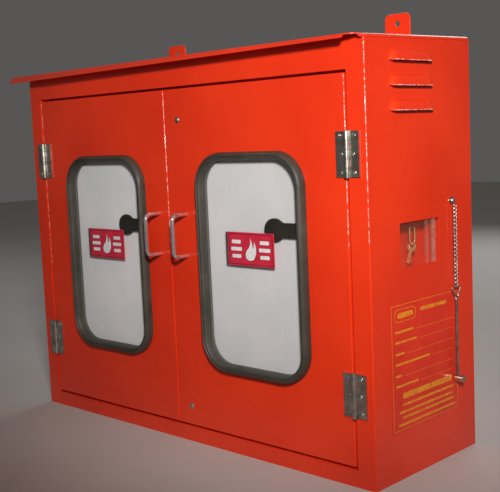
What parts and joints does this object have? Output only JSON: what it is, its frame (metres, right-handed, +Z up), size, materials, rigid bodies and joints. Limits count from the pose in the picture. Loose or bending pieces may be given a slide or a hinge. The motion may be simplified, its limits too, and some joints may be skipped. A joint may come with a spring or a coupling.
{
  "type": "fire hose cabinet",
  "caption": "Red sheet-steel fire hose cabinet: glazed double doors on butt hinges, a glazed key box, side louvres and a glass-breaking hammer on a chain.",
  "frame": {"origin": "centre of the body's base, where the bottom panel meets the ground", "axes": "+X along the width, towards the key box side; +Y to the back, so the doors face -Y; +Z up"},
  "size_m": [0.7882, 0.2853, 0.6515],
  "materials": {
    "paint": "gloss",
    "rubber": "satin",
    "glass": "clear",
    "acrylic": "clear, tinted",
    "film": "matte",
    "sign": "satin",
    "zinc": "satin",
    "chrome": "polished",
    "steel": "satin",
    "brass": "satin",
    "magnet": "matte",
    "label": "satin"
  },
  "bodies": {
    "cabinet": {"back_panel": "paint", "bottom_panel": "paint", "left_side_panel": "paint", "right_side_panel": "paint", "roof_panel": "paint", "front_frame": "paint", "wall_lug_left": "paint", "wall_lug_right": "paint", "key_box": "paint", "hose_hook_left": "paint", "hose_hook_right": "paint", "left_lower_hinge_frame_leaf": "zinc", "left_lower_hinge_pin": "zinc", "left_upper_hinge_frame_leaf": "zinc", "left_upper_hinge_pin": "zinc", "right_lower_hinge_frame_leaf": "zinc", "right_lower_hinge_pin": "zinc", "right_upper_hinge_frame_leaf": "zinc", "right_upper_hinge_pin": "zinc", "key_box_pane": "acrylic", "key_hook": "steel", "chain_screw": "zinc", "pipe_clip_lower": "zinc", "pipe_clip_upper": "zinc", "magnet_top": "magnet", "magnet_bottom": "magnet", "side_label": "label"},
    "left_door": {"left_door_panel": "paint", "left_gasket": "rubber", "left_pane": "glass", "left_film": "film", "left_sign_plate": "sign", "left_pull_tab": "rubber", "left_handle": "chrome", "left_handle_backing": "zinc", "left_lower_hinge_door_leaf": "zinc", "left_upper_hinge_door_leaf": "zinc", "left_top_striker": "zinc", "left_bottom_striker": "zinc"},
    "right_door": {"right_door_panel": "paint", "right_gasket": "rubber", "right_pane": "glass", "right_film": "film", "right_sign_plate": "sign", "right_pull_tab": "rubber", "right_handle": "chrome", "right_handle_backing": "zinc", "right_lower_hinge_door_leaf": "zinc", "right_upper_hinge_door_leaf": "zinc", "right_top_striker": "zinc", "right_bottom_striker": "zinc"},
    "keys": {"key_loop": "brass", "key": "brass"},
    "chain_upper": {"chain_upper": "steel"},
    "chain_middle": {"chain_middle": "steel"},
    "chain_lower": {"chain_lower": "steel"},
    "hammer_link": {"hammer_link": "steel"},
    "hammer": {"hammer_handle": "steel", "hammer_head": "steel"}
  },
  "joints": [
    {"name": "left_door_hinge", "type": "hinge", "parent": "cabinet", "child": "left_door", "pos_m": [-0.34, -0.1288, 0.288], "axis": [0, 0, -1], "range_deg": [0, 170]},
    {"name": "right_door_hinge", "type": "hinge", "parent": "cabinet", "child": "right_door", "pos_m": [0.3455, -0.1288, 0.288], "axis": [0, 0, 1], "range_deg": [0, 170]},
    {"name": "keys_swing", "type": "hinge", "parent": "cabinet", "child": "keys", "pos_m": [0.3567, -0.002, 0.3447], "axis": [1, 0, 0], "range_deg": [-10, 10]},
    {"name": "chain_upper_swing", "type": "hinge", "parent": "cabinet", "child": "chain_upper", "pos_m": [0.381, 0.07, 0.368], "axis": [1, 0, 0], "range_deg": [-40, 40]},
    {"name": "chain_middle_swing", "type": "hinge", "parent": "chain_upper", "child": "chain_middle", "pos_m": [0.381, 0.07, 0.3285], "axis": [1, 0, 0], "range_deg": [-60, 60]},
    {"name": "chain_lower_swing", "type": "hinge", "parent": "chain_middle", "child": "chain_lower", "pos_m": [0.381, 0.07, 0.289], "axis": [1, 0, 0], "range_deg": [-60, 60]},
    {"name": "hammer_link_swing", "type": "hinge", "parent": "chain_lower", "child": "hammer_link", "pos_m": [0.381, 0.07, 0.2495], "axis": [1, 0, 0], "range_deg": [-30, 30]},
    {"name": "hammer_swing", "type": "hinge", "parent": "hammer_link", "child": "hammer", "pos_m": [0.381, 0.07, 0.2358], "axis": [1, 0, 0], "range_deg": [-30, 30]}
  ]
}
